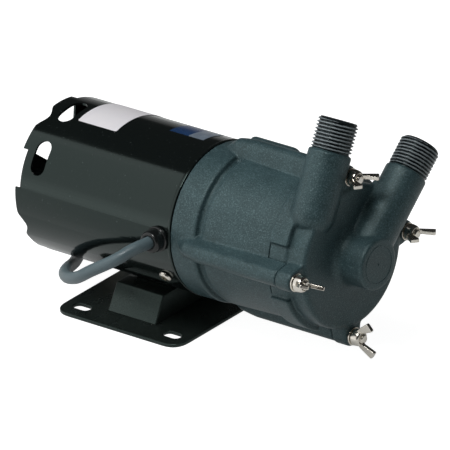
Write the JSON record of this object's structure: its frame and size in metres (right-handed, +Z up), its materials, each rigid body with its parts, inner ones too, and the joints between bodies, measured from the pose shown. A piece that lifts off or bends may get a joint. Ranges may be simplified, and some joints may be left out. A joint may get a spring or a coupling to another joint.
{
  "type": "magnetic drive centrifugal pump",
  "caption": "Close-coupled magnetic-drive centrifugal pump: black fan-cooled motor on a slotted foot plate, moulded bracket and volute with two threaded tubes, held by wing nuts.",
  "frame": {"origin": "centre of the foot plate's underside, on the floor", "axes": "+X along the shaft from the motor's rear to the pump's face, +Y to the side that the inlet tube leans to, +Z up"},
  "size_m": [0.2422, 0.2159, 0.1344],
  "materials": {
    "black_enamel": "gloss black baked enamel over drawn sheet steel",
    "moulded_plastic": "satin slate-grey glass-filled moulding",
    "black_plastic": "semi-gloss black moulding",
    "bright_steel": "bright plain stainless steel",
    "ground_steel": "ground steel",
    "lamination_steel": "stacked varnished laminations",
    "copper_winding": "varnished copper wire",
    "ferrite": "dull sintered ferrite",
    "ceramic": "polished alumina ceramic",
    "seal_rubber": "dull black rubber",
    "cord_jacket": "smooth slate-grey cord jacket"
  },
  "bodies": {
    "pump_body": {"base_plate": "black_enamel", "pedestal": "black_enamel", "cradle": "black_enamel", "cradle_screw_front": "bright_steel", "cradle_screw_rear": "bright_steel", "motor_shell": "black_enamel", "stator_core": "lamination_steel", "rear_winding": "copper_winding", "front_winding": "copper_winding", "front_bell": "ground_steel", "rear_bearing": "ground_steel", "front_bearing": "ground_steel", "ground_screw": "bright_steel", "strain_relief": "black_plastic", "adapter_bracket": "moulded_plastic", "bracket_screw_1": "bright_steel", "bracket_screw_2": "bright_steel", "bracket_screw_3": "bright_steel", "bracket_screw_4": "bright_steel", "rear_casing": "moulded_plastic", "impeller_spindle": "ceramic", "rear_thrust_washer": "ceramic", "front_thrust_washer": "ceramic", "casing_seal": "seal_rubber", "volute": "moulded_plastic", "casing_stud_n": "bright_steel", "casing_stud_w": "bright_steel", "casing_stud_s": "bright_steel", "casing_stud_e": "bright_steel", "stud_washer_n": "bright_steel", "stud_washer_w": "bright_steel", "stud_washer_s": "bright_steel", "stud_washer_e": "bright_steel", "power_cord": "cord_jacket", "cord_tail": "cord_jacket", "cord_coil": "cord_jacket", "cord_plug": "cord_jacket", "plug_blade_left": "bright_steel", "plug_blade_right": "bright_steel", "plug_ground_pin": "bright_steel"},
    "rotor": {"motor_shaft": "ground_steel", "rotor_core": "lamination_steel", "cooling_fan": "black_plastic", "drive_hub": "ground_steel", "drive_magnet": "ferrite"},
    "impeller_unit": {"impeller": "moulded_plastic", "impeller_magnet": "ferrite"},
    "nut_n": {"wing_nut_n": "bright_steel"},
    "nut_w": {"wing_nut_w": "bright_steel"},
    "nut_s": {"wing_nut_s": "bright_steel"},
    "nut_e": {"wing_nut_e": "bright_steel"}
  },
  "joints": [
    {"name": "rotor_spin", "type": "hinge", "parent": "pump_body", "child": "rotor", "pos_m": [0.0015, 0, 0.057], "axis": [1, 0, 0], "continuous": true},
    {"name": "impeller_spin", "type": "hinge", "parent": "pump_body", "child": "impeller_unit", "pos_m": [0.1091, 0, 0.057], "axis": [1, 0, 0], "continuous": true},
    {"name": "wing_nut_n_turn", "type": "hinge", "parent": "pump_body", "child": "nut_n", "pos_m": [0.1299, 0.00388, 0.10043], "axis": [1, 0, 0], "continuous": true},
    {"name": "wing_nut_w_turn", "type": "hinge", "parent": "pump_body", "child": "nut_w", "pos_m": [0.1299, -0.04343, 0.06088], "axis": [1, 0, 0], "continuous": true},
    {"name": "wing_nut_s_turn", "type": "hinge", "parent": "pump_body", "child": "nut_s", "pos_m": [0.1299, -0.00388, 0.01357], "axis": [1, 0, 0], "continuous": true},
    {"name": "wing_nut_e_turn", "type": "hinge", "parent": "pump_body", "child": "nut_e", "pos_m": [0.1299, 0.04343, 0.05312], "axis": [1, 0, 0], "continuous": true}
  ],
  "couplings": [
    {"joint": "impeller_spin", "follows": "rotor_spin", "ratio": 1}
  ]
}
